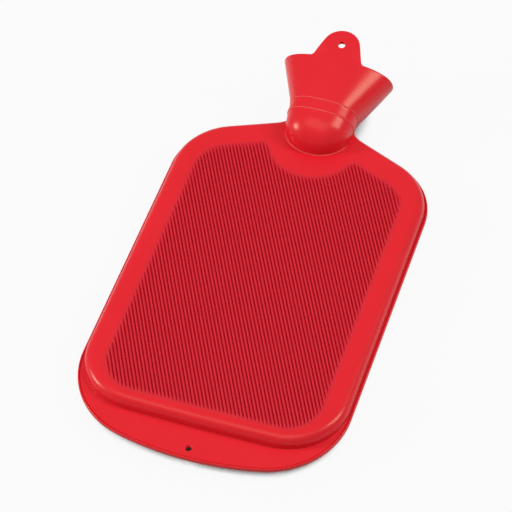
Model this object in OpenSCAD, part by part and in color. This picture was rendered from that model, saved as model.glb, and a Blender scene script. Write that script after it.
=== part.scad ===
// Rubber hot water bottle lying on its back, front panel up.
// X is the width, Y runs from the bottom edge to the hanging tab, Z is up from the table.

/* [Body] */
// Length from the bottom edge to the tip of the hanging tab
overall_length = 379; // [350:1:410]
// Width across the seam flange
body_width = 200; // [180:1:220]
// Depth over both panels, without the ribs
body_depth = 21; // [18:0.5:30]
// Thickness of the seam flange all round
flange_thickness = 3.6; // [2.8:0.1:5]
// Width of the flange beside the panel
side_flange = 2.2; // [1.5:0.1:5]
// Width of the flange below the panel
bottom_flange = 26; // [18:0.5:32]
// Radius of the rounded edge of the panel, seen in plan
panel_edge = 7.5; // [6:0.5:12]
// Rubber wall between the panel and the water
wall = 1.8; // [1.5:0.1:3]
// Height of the shoulder corners' centre above the bottom edge
shoulder_height = 252.5; // [246:0.5:258]
// Angle of the sloping shoulders
shoulder_angle = 23; // [20:0.5:27]
// Radius of the flange's shoulder corners
shoulder_radius = 50; // [46:1:56]
// Radius of the flange's lower corners
corner_radius = 61; // [50:1:70]
// Radius of the bow of the flange's bottom edge
flange_bow = 225; // [190:5:400]
// Radius of the panel's lower corners
panel_corner = 44; // [30:1:48]
// Radius of the bow of the panel's bottom edge
panel_bow = 2000; // [1000:50:3000]
// Radius of the hollow corner between shoulder and neck
neck_fillet = 20; // [14:1:24]

/* [Ribs] */
// Distance from rib to rib
rib_pitch = 2.56; // [2.5:0.02:5]
// Height of a rib above the valley beside it
rib_height = 0.75; // [0.4:0.05:1.2]
// Angle of the ribs to the long axis
rib_angle = 27.5; // [20:0.5:35]
// Width of the smooth border beside the ribs
rib_border = 16.5; // [15:0.5:22]
// Height of the ribs' lower ends above the bottom edge
rib_start = 37; // [36:0.5:60]
// Corner radius of the ribbed field
rib_corner = 27; // [15:1:34]
// Radius of the field's bow under the neck
rib_bow = 33; // [30:1:36]

/* [Neck] */
// Distance from the bottom edge to where the neck's axis leaves the body's middle plane
neck_root = 239; // [236:1:244]
// Upward lean of the neck, with the bottle lying flat
neck_tilt = 12; // [8:0.5:15]
// Width of the neck between its two rings
neck_width = 53; // [48:0.5:58]
// Depth of the neck between its two rings
neck_depth = 41; // [38:0.5:46]
// Outer width of the filling funnel at its mouth
funnel_width = 87.5; // [80:0.5:100]
// Wall of the filling funnel
funnel_wall = 2.5; // [2:0.1:3.5]
// Distance along the neck's axis from its root to the funnel's mouth
mouth_at = 121.5; // [117:0.5:125]
// Diameter of the hole in the hanging tab
tab_hole = 5.6; // [4:0.1:8]
// Thickness of the hanging tab
tab_thickness = 3; // [2.4:0.1:4]
// Radius of the rounded end of the hanging tab
tab_radius = 14.5; // [12:0.5:16]
// Angle between the tab's straight sides and its middle line
tab_flare = 20; // [12:1:26]
// Distance from the tip of the tab to its hole
tab_hole_at = 12.7; // [11:0.1:15]
// Diameter of the hole in the bottom flange
flange_hole = 4.4; // [3:0.1:6]
// Distance from the bottom edge to the hole in the bottom flange
flange_hole_at = 8.6; // [7:0.1:12]
// Width of the raised rim of the flange
rim_width = 1.3; // [1:0.1:1.4]
// Height of the raised rim over the flange
rim_height = 0.25; // [0.15:0.05:0.5]

/* [Bush] */
// Outer diameter of the threaded bush moulded into the neck
bush_diameter = 34; // [32:0.5:35]
// Length of the bush
bush_length = 16; // [14.5:0.5:17]
// Diameter of the passage below the bush
passage = 29; // [26:0.5:30]

/* [Stopper] */
// Diameter of the threaded plug
plug_diameter = 20.8; // [18:0.1:22]
// Length of the threaded plug below the washer
plug_length = 13.5; // [11:0.5:14]
// Radial clearance of the plug in the neck bush
thread_clearance = 0.08; // [0.05:0.01:0.1]
// Diameter of the stopper's head
head_diameter = 30.4; // [29:0.2:32]
// Thickness of the stopper's head
head_thickness = 4.6; // [3.6:0.2:6]
// Outer diameter of the sealing washer
washer_diameter = 28; // [26:0.5:30]
// Thickness of the sealing washer
washer_thickness = 2.4; // [1.8:0.1:3]
// Gap that keeps the unloaded washer clear of its two seats
seat_gap = 0.05; // [0.03:0.01:0.1]
// Width of the finger grip on the stopper
grip_width = 25; // [22:0.5:27]
// Height of the finger grip over the head
grip_height = 17.5; // [14:0.5:20]
// Thickness of the finger grip
grip_thickness = 6; // [4:0.5:8]
// Chamfer at the plug's end and round the head
chamfer = 1; // [0.5:0.1:1.4]

/* [Hidden] */

w = body_width / 2;
rib_lift = 0.04;                       // valley of the ribs above the panel
mid = body_depth / 2 + rib_lift + rib_height;
function place(x, u, z) = [x, u - overall_length / 2, mid + z];

// Half outline, bottom centre to neck: bottom bow, lower corner, side, shoulder corner, shoulder.
// hw half width, ub lowest point, rc and rb corner and bow radius, rt shoulder radius, all less i.
function bow_c(hw, ub, rc, rb) = ub + rb - sqrt(pow(rb - rc, 2) - pow(hw - rc, 2));
function half(hw, ub, rc, rb, rt, i, xn) =
    let (uc = bow_c(hw, ub, rc, rb), f0 = atan2(uc - ub - rb, hw - rc),
         sh = 90 - shoulder_angle,
         sx = hw - rt + (rt - i) * cos(sh), sy = shoulder_height + (rt - i) * sin(sh))
    concat(
        [for (k = [0:3]) let (a = -90 + (f0 + 90) * k / 4)
            [(rb - i) * cos(a), ub + rb + (rb - i) * sin(a)]],
        [for (k = [0:7]) let (a = f0 * (1 - k / 7))
            [hw - rc + (rc - i) * cos(a), uc + (rc - i) * sin(a)]],
        [for (k = [0:6]) let (a = sh * k / 6)
            [hw - rt + (rt - i) * cos(a), shoulder_height + (rt - i) * sin(a)]],
        xn > 0 ? [[xn, sy + (sx - xn) * tan(shoulder_angle)]] :
            // concave fillet into the side of the neck
            let (rf = neck_fillet, cx = neck_width / 2 - 5 + rf,
                 cy = sy + (sx - cx) * tan(shoulder_angle) + rf / cos(shoulder_angle))
            [for (k = [0:4]) let (a = 180 + sh * (1 - k / 4)) [cx + rf * cos(a), cy + rf * sin(a)]]);
function flip(h) = [for (k = [len(h) - 1:-1:1]) [-h[k][0], h[k][1]]];
function full(h) = concat(h, flip(h));

function flange_line(i) = full(half(w, 0, corner_radius, flange_bow, shoulder_radius, i, 0));
function panel_line(i, xn = 0) =
    full(half(w - side_flange, bottom_flange, panel_corner, panel_bow, shoulder_radius - side_flange, i, xn));

// Closed solid from rings of equal count, each at one height over the body's middle plane.
module ring_solid(rings, heights) {
    n = len(rings[0]);
    last = (len(rings) - 1) * n;
    polyhedron(points = [for (r = [0:len(rings) - 1]) for (p = rings[r]) place(p[0], p[1], heights[r])],
        faces = concat([for (r = [0:len(rings) - 2]) for (k = [0:n - 1]) for (t = [0:1])
                let (a = r * n + k, b = r * n + (k + 1) % n, c = b + n, d = a + n)
                t == 0 ? [a, d, c] : [a, c, b]],
            [[for (k = [0:n - 1]) k], [for (k = [n - 1:-1:0]) last + k]]), convexity = 6);
}

steps = 4;
module skin() {
    flange_top = flange_thickness / 2 - rim_height;
    up = [for (k = [0:steps]) let (a = 90 * k / steps)
        [panel_edge * (1 - cos(a)), flange_top + (body_depth / 2 - flange_top) * sin(a)]];
    rings = concat([for (k = [steps:-1:0]) panel_line(up[k][0])],
        [flange_line(rim_width), flange_line(rim_width / 2), flange_line(0.1),
            flange_line(0), flange_line(0), flange_line(0.1), flange_line(rim_width / 2), flange_line(rim_width)],
        [for (k = [0:steps]) panel_line(up[k][0])]);
    t = flange_thickness / 2;
    low = t - rim_height;                  // the flange is thinner inside its rim
    heights = concat([for (k = [steps:-1:0]) -up[k][1]], [-low, -t, 0.5 - t, 0.9 - t, t - 0.9, t - 0.5, t, low],
        [for (k = [0:steps]) up[k][1]]);
    ring_solid(rings, heights);
}

module water_space() {
    top = body_depth / 2 - wall;
    ins = [panel_edge + 0.5, panel_edge * 0.45, panel_edge * 0.12, 0, panel_edge * 0.12,
        panel_edge * 0.45, panel_edge + 0.5];
    hs = [-top, -top * 0.84, -top * 0.5, 0, top * 0.5, top * 0.84, top];
    ring_solid([for (k = [0:6]) panel_line(wall + ins[k], 45)], hs);
}

// Rib field: sides, a bow below the neck's dome and two peaks beside it.
fw = w - side_flange - rib_border;
ft = shoulder_height + 9.5;
fc = shoulder_height - 3;               // height of the field's upper corners' centres
peak = [rib_bow + 1.5, fc + rib_corner * cos(shoulder_angle)
    + (fw - rib_corner * (1 - sin(shoulder_angle)) - rib_bow - 1.5) * tan(shoulder_angle)];
function corner(at, a) = [fw + rib_corner * (cos(a) - 1), at + rib_corner * sin(a)];
field_half = concat(
    [[0, rib_start]],
    [for (a = [-90:22.5:0]) corner(rib_start + rib_corner, a)],
    [for (k = [0:3]) corner(fc, (90 - shoulder_angle) * k / 3)],
    [peak],
    [for (a = [75:-15:0]) [rib_bow * sin(a), ft + rib_bow * (1 - cos(a))]]);
field = full_field(field_half);
function full_field(h) = concat(h, [for (k = [len(h) - 2:-1:1]) [-h[k][0], h[k][1]]]);

// Ribs: one toothed strip laid across the panel, trimmed to the field with sloping ends.
module ribs() {
    surface = body_depth / 2;
    under = surface - 0.7;
    low = surface + rib_lift;
    top = low + rib_height;
    centre = (rib_start + ft) / 2;
    reach = 1.05 * (fw * cos(rib_angle) + (ft - centre) * sin(rib_angle));
    length = 2.2 * (fw * sin(rib_angle) + (peak[1] - centre) * cos(rib_angle));
    count = 2 * floor(reach / rib_pitch) + 1;
    teeth = [for (k = [0:count - 1]) for (q = [[0, 0], [0.28, 0.82], [0.42, 1], [0.58, 1], [0.72, 0.82]])
        [(k + q[0] - count / 2) * rib_pitch, low + rib_height * q[1]]];
    edge = count * rib_pitch / 2;
    n = len(field);
    grow = 1.035;
    intersection() {
        translate([0, centre - overall_length / 2, mid]) rotate([0, 0, rib_angle]) rotate([90, 0, 0])
            linear_extrude(length, center = true)
                polygon(concat(teeth, [[edge, low], [edge, under], [-edge, under]]));
        translate([0, centre - overall_length / 2, mid]) polyhedron(
            points = [for (z = [[under - 0.5, grow], [top + 0.3, 0.99]]) for (p = field)
                [p[0] * z[1], (p[1] - centre) * z[1], z[0]]],
            faces = concat([for (k = [0:n - 1]) for (t = [0:1]) t == 0 ?
                    [k, n + k, n + (k + 1) % n] : [k, n + (k + 1) % n, (k + 1) % n]],
                [[for (k = [0:n - 1]) k], [for (k = [n - 1:-1:0]) n + k]]), convexity = 4);
    }
}

module in_neck() {
    translate([0, neck_root - overall_length / 2, mid]) rotate([neck_tilt, 0, 0]) children();
}
// carries its children to a place on the neck's axis, turned so that Z runs out along the neck
module along(at) { translate([0, at, 0]) rotate([-90, 0, 0]) children(); }

na = neck_width / 2;
nb = neck_depth / 2;
fa = funnel_width / 2;
widest = -3.5;                          // height of the mouth's widest points over the neck's axis
back = (mid + (mouth_at - 3) * sin(neck_tilt) - 0.3) / cos(neck_tilt) + widest;
low_ring = 74.6;
high_ring = 83.9;
seat_at = 84.5;                         // top of the bush, floor of the funnel
bush_radius = bush_diameter / 2;

// One oval section across the neck: half width a, front f and back b about height c, squareness n.
function oval(v, a, f, b, c, n, nb = 0, m = 40) = [for (k = [0:m - 1])
    let (t = 360 * k / m + 4.5, e = 2 / (sin(t) < 0 && nb > 0 ? nb : n))
    [a * sign(cos(t)) * pow(abs(cos(t)), e), v,
     c + (sin(t) > 0 ? f : b) * sign(sin(t)) * pow(abs(sin(t)), e)]];
module oval_solid(s) {
    m = len(s[0]);
    r = len(s) - 1;
    polyhedron(points = [for (q = s) for (p = q) p], faces = concat(
        [for (j = [0:r - 1]) for (k = [0:m - 1]) for (t = [0:1])
            let (a = j * m + k, b = j * m + (k + 1) % m, c = b + m, d = a + m)
            t == 0 ? [a, c, d] : [a, b, c]],
        [[for (k = [m - 1:-1:0]) k], [for (k = [0:m - 1]) r * m + k]]), convexity = 4);
}

passage_at = 62;                        // centre of the hollow under the dome
dome_start = 46.3;
dome_end = 68.3;
module neck_outside() {
    dome = [for (a = [10, 26, 44, 66, 90]) let (v = dome_end - (dome_end - dome_start) * cos(a))
        oval(v, (na - 1.2) * sin(a), nb * sin(a), nb * sin(a), 0, 2.4)];
    function flare(t) = let (s = pow(t, 0.95))
        oval(high_ring + 1 + (mouth_at - high_ring - 4.5) * t, na + 0.6 + (fa - na - 1.3) * t,
            nb - widest * s, nb + (back - nb) * s, widest * s, 2.6 - 0.3 * t, 2.6 - 0.85 * t);
    rings = [for (p = [[low_ring - 0.9, -0.6], [low_ring - 0.2, 0.1], [low_ring + 0.6, -0.5],
            [high_ring - 0.9, 0.1], [high_ring - 0.2, 0.8], [high_ring + 0.6, 0.4]])
        oval(p[0], na + p[1], nb + p[1] / 2, nb + p[1] / 2, 0, 2.6)];
    rim = [oval(mouth_at - 2.2, fa - 0.2, nb - widest, back - 0.2, widest, 2.3, 1.75),
        oval(mouth_at - 0.8, fa, nb - widest, back, widest, 2.3, 1.75),
        oval(mouth_at, fa - 0.9, nb - widest - 0.8, back - 0.9, widest, 2.3, 1.75)];
    oval_solid(concat(dome, rings, [for (t = [0:0.25:1]) flare(t)], rim));
}

module funnel_inside() {
    t = funnel_wall;
    oval_solid([
        oval(seat_at, na - 5, nb - 3.2, nb - 3.2, 0, 2.3),
        oval(seat_at + 4, na - 2.4, nb - 2.6 - widest * 0.1, nb - 2.2, widest * 0.1, 2.5),
        oval(seat_at + (mouth_at - seat_at) / 2, (na + fa) / 2 - t, nb - widest / 2 - t,
            (nb + back) / 2 - t - 0.6, widest / 2, 2.45, 2.1),
        oval(mouth_at - 3, fa - t - 0.7, nb - widest - t, back - t - 0.6, widest, 2.3, 1.75),
        oval(mouth_at + 2, fa - t - 0.4, nb - widest - t, back - t - 0.4, widest, 2.3, 1.75)]);
}

// tab outline, from inside the funnel's front to its rounded end
tab_tip = (overall_length - neck_root + (nb - tab_thickness) * sin(neck_tilt)) / cos(neck_tilt);
tab_centre = tab_tip - tab_radius;
module tab() {
    // half width of the tab's straight sides, tangent to its rounded end
    function side(v) = (tab_radius - (v - tab_centre) * sin(tab_flare)) / cos(tab_flare);
    half_tab = concat(
        [[16, mouth_at - 9], [20.5, mouth_at - 3], [side(mouth_at) + 1.4, mouth_at - 0.4]],
        [[side(mouth_at) + 0.4, mouth_at + 0.5], [side(mouth_at + 2), mouth_at + 2]],
        [for (k = [0:6]) let (a = tab_flare + (90 - tab_flare) * k / 6)
            [tab_radius * cos(a), tab_centre + tab_radius * sin(a)]]);
    translate([0, 0, nb - tab_thickness]) linear_extrude(tab_thickness)
        polygon(concat(half_tab, [for (k = [len(half_tab) - 2:-1:0]) [-half_tab[k][0], half_tab[k][1]]]));
}

module bottle_body() {
    color([0.80, 0.05, 0.07]) difference() {
        union() {
            skin();
            ribs();
            translate([0, 0, 2 * mid]) rotate([0, 180, 0]) ribs();
            in_neck() {
                neck_outside();
                tab();
            }
        }
        water_space();
        in_neck() {
            along(passage_at) cylinder(d = passage, h = seat_at - passage_at, $fn = 64);
            translate([0, passage_at, 0]) sphere(d = passage, $fn = 64);
            along(seat_at - bush_length) cylinder(r = bush_radius, h = bush_length + 0.5, $fn = 64);
            funnel_inside();
            translate([0, tab_tip - tab_hole_at, nb - tab_thickness - 1])
                cylinder(d = tab_hole, h = tab_thickness + 2, $fn = 48);
        }
        translate([0, flange_hole_at - overall_length / 2, mid - flange_thickness])
            cylinder(d = flange_hole, h = 2 * flange_thickness, $fn = 48);
    }
}

bore = plug_diameter / 2 + thread_clearance;
module neck_bush() {
    color([0.78, 0.62, 0.30]) in_neck() difference() {
        along(seat_at - bush_length) cylinder(r = bush_radius, h = bush_length, $fn = 64);
        along(seat_at - bush_length - 1) cylinder(r = bore, h = bush_length + 2, $fn = 64);
    }
}

washer_at = seat_at + seat_gap;
head_at = washer_at + washer_thickness + seat_gap;
module stopper_washer() {
    color([0.15, 0.15, 0.15]) in_neck() difference() {
        along(washer_at) cylinder(d = washer_diameter, h = washer_thickness, $fn = 64);
        along(washer_at - 1) cylinder(r = plug_diameter / 2 + 0.4, h = washer_thickness + 2, $fn = 64);
    }
}

module stopper() {
    pr = plug_diameter / 2;
    hr = head_diameter / 2;
    foot = washer_at - plug_length;
    grip_at = head_at + head_thickness;
    color([0.12, 0.12, 0.13]) in_neck() {
        along(0) rotate_extrude($fn = 64) polygon([[0, foot], [pr - chamfer, foot], [pr, foot + chamfer],
            [pr, head_at], [hr - chamfer / 2, head_at], [hr, head_at + chamfer / 2], [hr, grip_at - chamfer],
            [hr - chamfer, grip_at], [0, grip_at]]);
        // finger grip: a flat tongue with a bowed top, narrower at its upper edge
        intersection() {
            translate([0, grip_at - 1, 0]) rotate([0, 90, 0])
                linear_extrude(grip_width, center = true) polygon([[-grip_thickness / 2, 0],
                    [grip_thickness / 2, 0], [grip_thickness / 2 - 0.7, grip_height + 1],
                    [0.7 - grip_thickness / 2, grip_height + 1]]);
            translate([0, grip_at + grip_height - grip_width * 0.8, -grip_thickness])
                cylinder(r = grip_width * 0.8, h = 2 * grip_thickness, $fn = 96);
        }
    }
}

bottle_body();
neck_bush();
stopper_washer();
stopper();
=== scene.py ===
import math
import bmesh
import bpy
import numpy as np
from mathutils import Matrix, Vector


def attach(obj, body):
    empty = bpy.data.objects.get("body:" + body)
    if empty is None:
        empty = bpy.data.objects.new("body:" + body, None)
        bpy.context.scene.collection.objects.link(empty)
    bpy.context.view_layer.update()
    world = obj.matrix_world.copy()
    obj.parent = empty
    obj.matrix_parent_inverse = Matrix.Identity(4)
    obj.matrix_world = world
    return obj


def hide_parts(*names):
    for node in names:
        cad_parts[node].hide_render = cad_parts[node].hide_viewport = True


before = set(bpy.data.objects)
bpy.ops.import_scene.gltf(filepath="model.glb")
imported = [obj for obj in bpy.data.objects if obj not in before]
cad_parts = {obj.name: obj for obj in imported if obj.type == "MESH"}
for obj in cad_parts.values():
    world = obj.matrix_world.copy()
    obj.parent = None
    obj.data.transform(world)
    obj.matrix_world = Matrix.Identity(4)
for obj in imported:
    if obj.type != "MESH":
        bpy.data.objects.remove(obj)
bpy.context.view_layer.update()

# Camera: it stands over the bottom edge, a little to the right, and looks down on the lying bottle.
# Its place and turn fit the outline of the bottle to the photograph.
CAMERA_AT = (0.37404, -1.04903, 1.38289)
CAMERA_TURN = [math.radians(a) for a in (39.0560, 1.3768, 18.4794)]
bpy.ops.object.camera_add(location=CAMERA_AT, rotation=CAMERA_TURN)
camera = bpy.context.object
camera.name = "photo_camera"
camera.data.sensor_width = 36
camera.data.lens = 168.76
camera.data.clip_start, camera.data.clip_end = 0.05, 20
bpy.context.scene.camera = camera
bpy.context.scene.view_settings.view_transform = "Standard"

# Studio: a white sheet under the bottle and a wide soft box overhead. A high narrow one at the right
# gives the long light band on the funnel and the dome, and a low one at the left the dome's other side.
SHEET_SIZE, SHEET_DROP = 60, 0.0002     # metres, and how far it lies below the bottle
LAMPS_FACE = (0, 0.1, 0.03)             # the shoulders, in metres
SHADE_REACH = 0.03                      # how far round a place on the sheet its shade is looked for


def node(tree, kind, links=(), **settings):
    """Adds a node, sets its properties and input values, and links sockets into it."""
    made = tree.nodes.new(kind)
    for key, value in settings.items():
        if key in made.bl_rna.properties:
            setattr(made, key, value)
        else:
            made.inputs[key.replace("_", " ")].default_value = value
    for source, socket in links:
        tree.links.new(source, made.inputs[socket])
    return made


def new_material(name):
    """A material whose node tree is still empty."""
    material = bpy.data.materials.new(name)
    material.use_nodes = True
    material.node_tree.nodes.clear()
    return material, material.node_tree


def linear(hex_colour):
    """sRGB hex to linear RGBA."""
    parts = [int(hex_colour[i:i + 2], 16) / 255 for i in (1, 3, 5)]
    return [c / 12.92 if c <= 0.04045 else ((c + 0.055) / 1.055) ** 2.4 for c in parts] + [1]


world = bpy.data.worlds.new("studio")
bpy.context.scene.world = world
world.use_nodes = True
world.node_tree.nodes.clear()
fill = node(world.node_tree, "ShaderNodeBackground", Color=linear("#ffffff"), Strength=0.36)
node(world.node_tree, "ShaderNodeOutputWorld", [(fill.outputs[0], "Surface")])

bpy.ops.mesh.primitive_plane_add(size=SHEET_SIZE, location=(0, 0, -SHEET_DROP))
sheet = bpy.context.object
sheet.name = "table_sheet"

# White matt paper: grey enough to throw little light back up on the rubber. The camera sees it white
# but for the thin shadow close under the bottle, and a reflection shows a softer shade round it.
paper, tree = new_material("white_table_sheet")
matt = node(tree, "ShaderNodeBsdfDiffuse", Color=linear("#aeaeae"))
glow = node(tree, "ShaderNodeEmission", Color=linear("#ffffff"), Strength=1.0)
open_sky = node(tree, "ShaderNodeAmbientOcclusion", samples=16, Distance=SHADE_REACH)
seen_white = node(tree, "ShaderNodeMapRange", [(open_sky.outputs["AO"], "Value")],
                  interpolation_type="SMOOTHSTEP", From_Min=0.24, From_Max=0.4, To_Max=0.93)
mirrored_white = node(tree, "ShaderNodeMapRange", [(open_sky.outputs["AO"], "Value")],
                      interpolation_type="SMOOTHSTEP", From_Min=0.35, From_Max=1.1)
path = node(tree, "ShaderNodeLightPath")
mirrored = node(tree, "ShaderNodeMath", [(path.outputs["Is Glossy Ray"], 0),
                                         (path.outputs["Is Transmission Ray"], 1)], operation="MAXIMUM")
camera_share = node(tree, "ShaderNodeMath", [(path.outputs["Is Camera Ray"], 0),
                                             (seen_white.outputs[0], 1)], operation="MULTIPLY")
mirror_share = node(tree, "ShaderNodeMath", [(mirrored.outputs[0], 0),
                                             (mirrored_white.outputs[0], 1)], operation="MULTIPLY")
share = node(tree, "ShaderNodeMath", [(camera_share.outputs[0], 0), (mirror_share.outputs[0], 1)],
             operation="MAXIMUM")
both = node(tree, "ShaderNodeMixShader", [(share.outputs[0], 0), (matt.outputs[0], 1),
                                          (glow.outputs[0], 2)])
node(tree, "ShaderNodeOutputMaterial", [(both.outputs[0], "Surface")])
sheet.data.materials.append(paper)


def soft_box(name, place, width, height, power):
    """A rectangular area lamp that faces the shoulders."""
    bpy.ops.object.light_add(type="AREA", location=place)
    lamp = bpy.context.object
    lamp.name = name
    lamp.data.shape = "RECTANGLE"
    lamp.data.size, lamp.data.size_y = width, height
    lamp.data.energy = power
    lamp.rotation_euler = (Vector(LAMPS_FACE) - Vector(place)).to_track_quat("-Z", "Y").to_euler()


soft_box("overhead_box", (-0.2, -0.4, 2.2), 1.7, 1.3, 12)
soft_box("right_box", (1.2, 0.4, 1.4), 0.32, 1.0, 15)
soft_box("left_box", (-1.5, -0.5, 0.75), 0.4, 0.45, 15)

# Bottle panels: two rubber sheets moulded as one bag with a flat seam flange all round. Each panel
# stands up from the flange with a rolled edge, and the flange has a thin raised rim.
LENGTH, MIDDLE = 379.0, 11.29           # whole length, and the seam's height over the table
PANEL_TOP, FLANGE_TOP, RIM_TOP = 10.7, 1.55, 1.8      # heights over the seam
HALF_WIDTH, SIDE_FLANGE, BOTTOM_FLANGE = 100.0, 2.2, 26.0
FLANGE_CORNER, FLANGE_BOW = 61, 225     # radii of the lower corners and of the bowed bottom edge
PANEL_CORNER, PANEL_BOW = 44, 2000
SHOULDER, SLOPE, SHOULDER_RADIUS = 252.5, math.radians(23), 50.0
NECK_FILLET, NECK_SIDE = 20.0, 21.5     # hollow corner's radius, and where it meets the neck
PANEL_EDGE = 7.5                        # how far the rolled edge reaches in over the panel
ROLL, ROLL_LIFT = 0.84, 0.3             # under 1 the roll is squarer than a circle; lift over the flange
FOOT_OUT = 0.31                         # how far the wall's foot stands out from the panel's outline
SUNK_SHARE, SUNK_DEEP = 0.985, 2.2      # the middle of the panel, under the ribs: its size and depth
FLANGE_HOLE, FLANGE_HOLE_AT = 2.2, 8.6  # radius, and distance from the bottom edge
# the small bead round the wall's foot: places outwards and heights over the flange
FOOT_BEAD = ((0.04, 0.05), (0.09, -0.08), (0.16, 0.1), (0.24, 0.08))
# the raised rim with the groove inside it: places in from the edge and depths below the rim's top
RIM_WIDTH = 1.8
RIM = ((1.7, 0.7), (1.5, 0.95), (1.25, 0.7), (1.12, 0.12), (1, 0), (0.55, 0), (0.28, 0.14), (0.09, 0.5),
       (0, 1))


def lay(x, u, z):
    """Millimetres from the bottom edge and over the seam, to metres in the row frame."""
    return (x / 1000, (u - LENGTH / 2) / 1000, (MIDDLE + z) / 1000)


def arc(cx, cu, radius, start, end, steps, last=False):
    """Places on an arc about (cx, cu), from the start angle towards the end one."""
    return [(cx + radius * math.cos(start + (end - start) * k / steps),
             cu + radius * math.sin(start + (end - start) * k / steps))
            for k in range(steps + 1 if last else steps)]


def straight(start, end, steps):
    """Places between two ends, without the ends."""
    return [(start[0] + (end[0] - start[0]) * k / steps, start[1] + (end[1] - start[1]) * k / steps)
            for k in range(1, steps)]


def half_outline(half_width, low, corner, bow, shoulder_radius, inset):
    """Right half of an outline from the bottom centre to the neck, moved inwards by inset."""
    lift = low + bow - math.sqrt((bow - corner) ** 2 - (half_width - corner) ** 2)
    meet = math.atan2(lift - low - bow, half_width - corner)
    sweep = math.pi / 2 - SLOPE
    points = arc(0, low + bow, bow - inset, -math.pi / 2, meet, 24)
    points += arc(half_width - corner, lift, corner - inset, meet, 0, 20, last=True)
    points += straight((half_width - inset, lift), (half_width - inset, SHOULDER), 14)
    shoulder = arc(half_width - shoulder_radius, SHOULDER, shoulder_radius - inset, 0, sweep, 20, last=True)
    top = shoulder[-1]
    cx = NECK_SIDE + NECK_FILLET
    cu = top[1] + (top[0] - cx) * math.tan(SLOPE) + NECK_FILLET / math.cos(SLOPE)
    hollow = arc(cx, cu, NECK_FILLET, math.pi + sweep, math.pi, 12, last=True)
    points += shoulder + straight(top, hollow[0], 8) + hollow
    points += [(NECK_SIDE * (1 - k / 8), cu) for k in range(1, 9)]
    return points


def whole(half):
    """Both halves of a ring, from its right half."""
    return half + [(-x, u) for x, u in half[-2:0:-1]]


def flange_ring(inset):
    return whole(half_outline(HALF_WIDTH, 0, FLANGE_CORNER, FLANGE_BOW, SHOULDER_RADIUS, inset))


def panel_ring(inset):
    return whole(half_outline(HALF_WIDTH - SIDE_FLANGE, BOTTOM_FLANGE, PANEL_CORNER, PANEL_BOW,
                              SHOULDER_RADIUS - SIDE_FLANGE, inset))


# outline of the ribbed field, with a bow under the neck's dome and a peak on each side of it
FIELD_LOW, FIELD_HIGH, FIELD_HALF = 37.0, 262.0, 81.3
FIELD_CORNER, FIELD_BOW = 27.0, 33.0
FIELD_PEAK = [(38.5, 285.5), (36.6, 286.2), (35.2, 286.2), (34, 285.6), (33, 284.2)]
field_centre = (0.0, (FIELD_LOW + FIELD_HIGH) / 2)
field_half = [(0, FIELD_LOW)]
for centre, angles in ((FIELD_LOW + FIELD_CORNER, range(-90, 1, 9)), (SHOULDER - 3, range(0, 68, 9))):
    field_half += [(FIELD_HALF + FIELD_CORNER * (math.cos(math.radians(a)) - 1),
                    centre + FIELD_CORNER * math.sin(math.radians(a))) for a in angles]
field_half += FIELD_PEAK
field_half += [(FIELD_BOW * math.sin(math.radians(a)),
                FIELD_HIGH + FIELD_BOW * (1 - math.cos(math.radians(a)))) for a in range(70, -1, -5)]
field = np.array(whole(field_half))


def field_edge(point):
    """The place on the field's outline that lies in the same direction as point."""
    d = np.array(point) - field_centre
    a, b = field - field_centre, np.roll(field, -1, axis=0) - field_centre
    e = b - a
    cross = d[0] * e[:, 1] - d[1] * e[:, 0]
    cross = np.where(abs(cross) < 1e-9, 1e-9, cross)
    t = (a[:, 0] * e[:, 1] - a[:, 1] * e[:, 0]) / cross
    s = (a[:, 0] * d[1] - a[:, 1] * d[0]) / cross
    t = t[(s >= -1e-9) & (s <= 1 + 1e-9) & (t > 0)].min()
    return field_centre[0] + t * d[0], field_centre[1] + t * d[1]


def between(first, second, share):
    """A ring that lies at a share of the way from the first one to the second."""
    return [(a[0] + (b[0] - a[0]) * share, a[1] + (b[1] - a[1]) * share)
            for a, b in zip(first, second)]


def edit(thing):
    """Opens a mesh in edit mode with all of it selected."""
    bpy.ops.object.select_all(action="DESELECT")
    thing.select_set(True)
    bpy.context.view_layer.objects.active = thing
    bpy.ops.object.mode_set(mode="EDIT")
    bpy.ops.mesh.select_all(action="SELECT")


def done(angle=35):
    """Faces outwards, back to object mode, smooth shading up to an angle."""
    bpy.ops.mesh.select_all(action="SELECT")
    bpy.ops.mesh.normals_make_consistent(inside=False)
    bpy.ops.object.mode_set(mode="OBJECT")
    bpy.ops.object.shade_smooth_by_angle(angle=math.radians(angle))


def loft(name, rings, cap_first=True, cap_last=True, joined=False):
    """A circle, extruded ring by ring and left in edit mode: each ring is a list of places in metres."""
    count = len(rings[0])
    bpy.ops.object.select_all(action="DESELECT")
    bpy.ops.mesh.primitive_circle_add(vertices=count)
    thing = bpy.context.object
    thing.name = name
    edit(thing)
    for k, ring in enumerate(rings):
        if k:
            bpy.ops.mesh.extrude_edges_move()
        mesh = bmesh.from_edit_mesh(thing.data)
        mesh.verts.ensure_lookup_table()
        for vert, place in zip(mesh.verts[k * count:], ring):
            vert.co = place
        bmesh.update_edit_mesh(thing.data)
    for wanted, start in ((cap_first, 0), (cap_last, (len(rings) - 1) * count)):
        if wanted:
            bpy.ops.mesh.select_all(action="DESELECT")
            mesh = bmesh.from_edit_mesh(thing.data)
            mesh.verts.ensure_lookup_table()
            for vert in mesh.verts[start:start + count]:
                vert.select_set(True)
            mesh.select_flush(True)
            bpy.ops.mesh.edge_face_add()
    if joined:
        bpy.ops.mesh.select_all(action="SELECT")
        bpy.ops.mesh.remove_doubles(threshold=1e-6)
    return thing


def modify(thing, kind, **settings):
    """Adds a modifier with its settings and applies it."""
    bpy.ops.object.select_all(action="DESELECT")
    thing.select_set(True)
    bpy.context.view_layer.objects.active = thing
    modifier = thing.modifiers.new("step", kind)
    for key, value in settings.items():
        setattr(modifier, key, value)
    bpy.ops.object.modifier_apply(modifier=modifier.name)


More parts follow.
